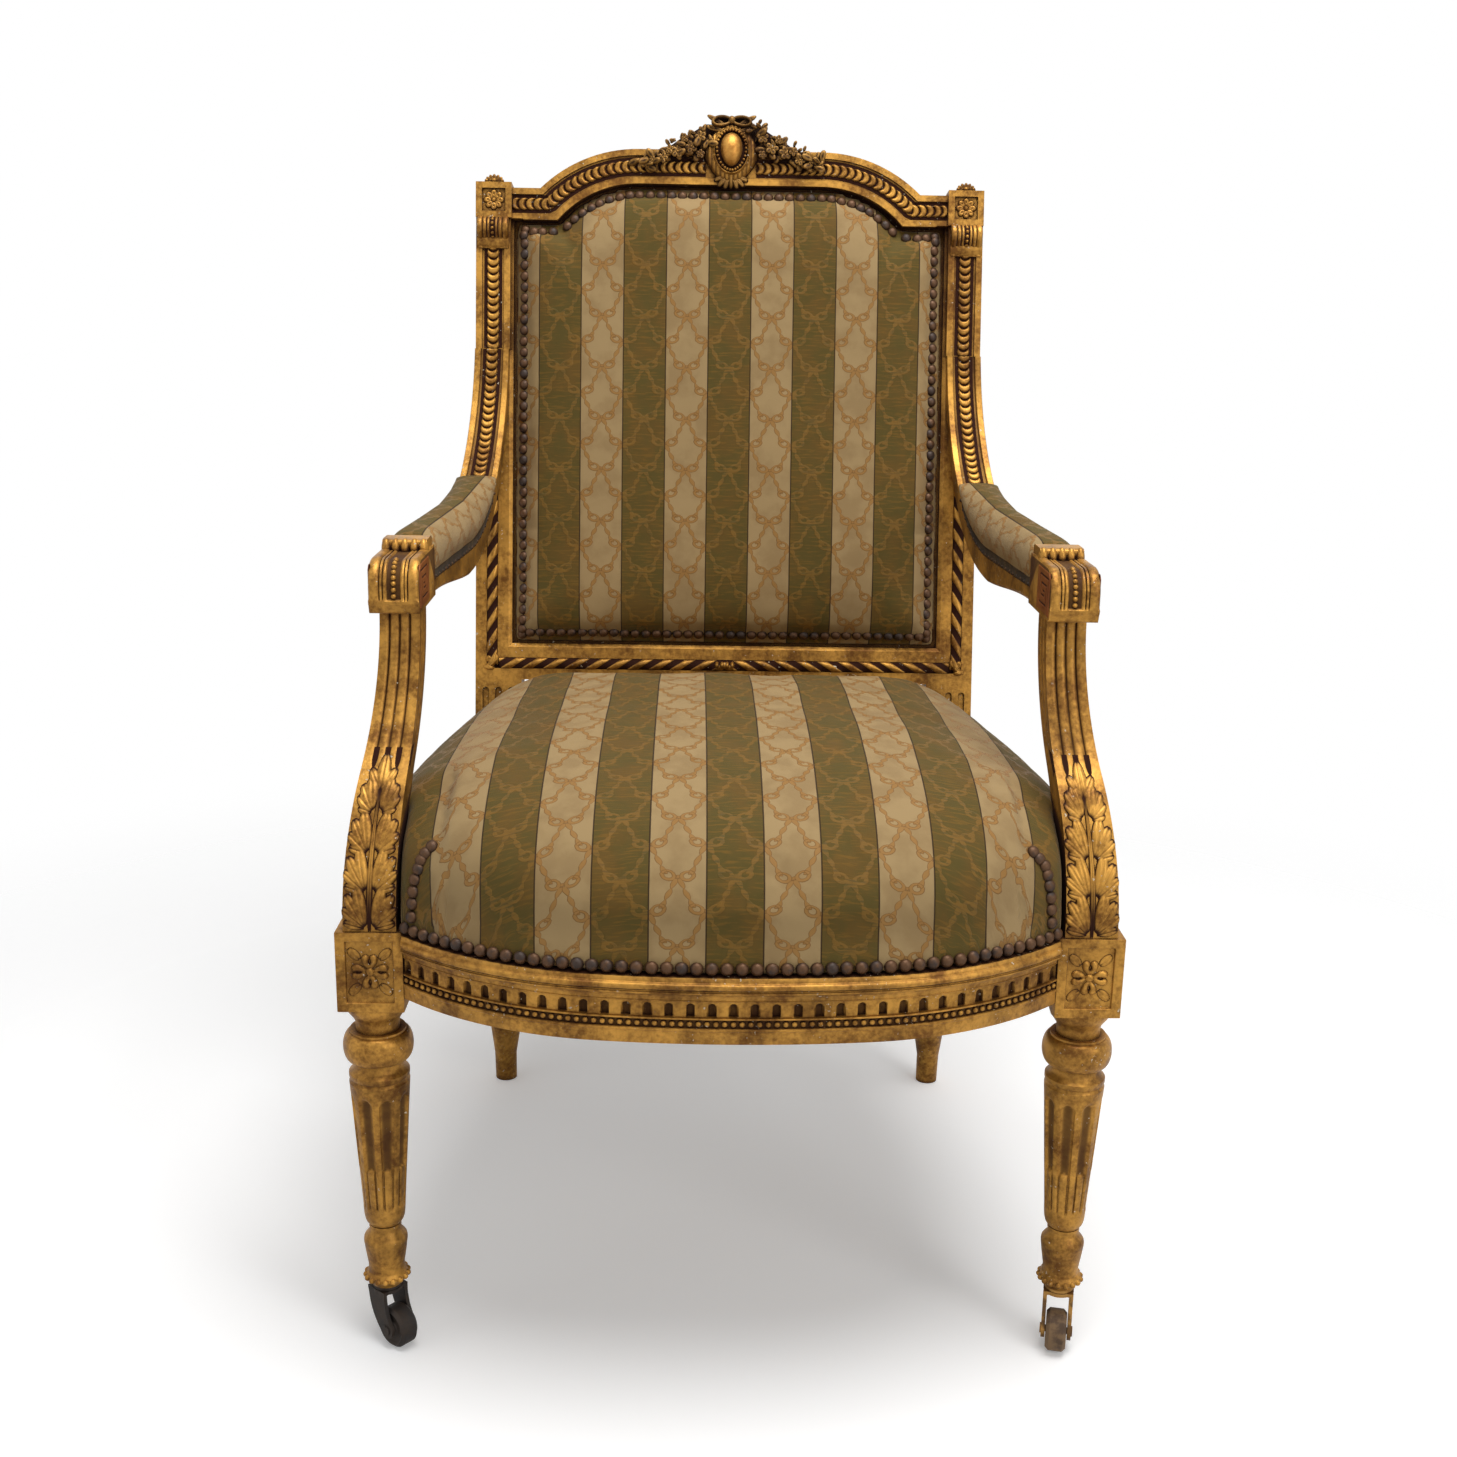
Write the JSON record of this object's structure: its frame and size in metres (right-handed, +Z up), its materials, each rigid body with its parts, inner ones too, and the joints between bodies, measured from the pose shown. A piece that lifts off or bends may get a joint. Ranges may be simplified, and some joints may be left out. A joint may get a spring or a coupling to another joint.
{
  "type": "upholstered armchair",
  "caption": "Giltwood armchair with a raked padded back under a stepped arch, padded arms, a bowed sprung seat, fluted front legs on castors and plain splayed rear legs.",
  "frame": {"origin": "on the floor under the middle of the bounding box", "axes": "+Z up, -Y the way a sitter faces, +X to the right as seen from the front"},
  "size_m": [0.6596, 0.7389, 1.0914],
  "materials": {
    "gilt_wood": "water gilding over red bole, worn",
    "plain_wood": "plain beech",
    "castor_brass": "dull aged brass",
    "castor_wheel": "worn and dark",
    "cover_cloth": "striped silk with bow trellis",
    "stuffing": "hair and hessian",
    "webbing": "jute"
  },
  "bodies": {
    "chair": {"front_leg_left": "gilt_wood", "front_leg_right": "gilt_wood", "castor_plate_left": "castor_brass", "castor_plate_right": "castor_brass", "front_rail": "gilt_wood", "side_rail_left": "gilt_wood", "side_rail_right": "gilt_wood", "rear_rail": "gilt_wood", "corner_braces": "plain_wood", "rear_post_left": "gilt_wood", "rear_post_right": "gilt_wood", "back_bottom_rail": "gilt_wood", "crest_rail": "gilt_wood", "crest_cartouche": "gilt_wood", "crest_garland_left": "gilt_wood", "crest_garland_right": "gilt_wood", "corner_shell_left": "gilt_wood", "corner_shell_right": "gilt_wood", "arm_support_left": "gilt_wood", "arm_support_right": "gilt_wood", "arm_left": "gilt_wood", "arm_right": "gilt_wood", "arm_pad_left": "cover_cloth", "arm_pad_right": "cover_cloth", "seat_webbing": "webbing", "seat_springs": "stuffing", "seat_cover": "cover_cloth", "seat_stuffing": "stuffing", "back_webbing": "webbing", "back_cover": "cover_cloth", "back_stuffing": "stuffing", "outer_back": "cover_cloth"},
    "castor_left": {"castor_fork_left": "castor_brass", "castor_axle_left": "castor_brass"},
    "wheel_left": {"castor_wheel_left": "castor_wheel"},
    "castor_right": {"castor_fork_right": "castor_brass", "castor_axle_right": "castor_brass"},
    "wheel_right": {"castor_wheel_right": "castor_wheel"}
  },
  "joints": [
    {"name": "castor_left_swivel", "type": "hinge", "parent": "chair", "child": "castor_left", "pos_m": [-0.3, -0.24848, 0.0545], "axis": [0, 0, 1], "continuous": true},
    {"name": "wheel_left_spin", "type": "hinge", "parent": "castor_left", "child": "wheel_left", "pos_m": [-0.29034, -0.25717, 0.0185], "axis": [0.6691, 0.7431, 0], "continuous": true},
    {"name": "castor_right_swivel", "type": "hinge", "parent": "chair", "child": "castor_right", "pos_m": [0.3, -0.24848, 0.0545], "axis": [0, 0, 1], "continuous": true},
    {"name": "wheel_right_spin", "type": "hinge", "parent": "castor_right", "child": "wheel_right", "pos_m": [0.29708, -0.26114, 0.0185], "axis": [0.9744, -0.225, 0], "continuous": true}
  ]
}
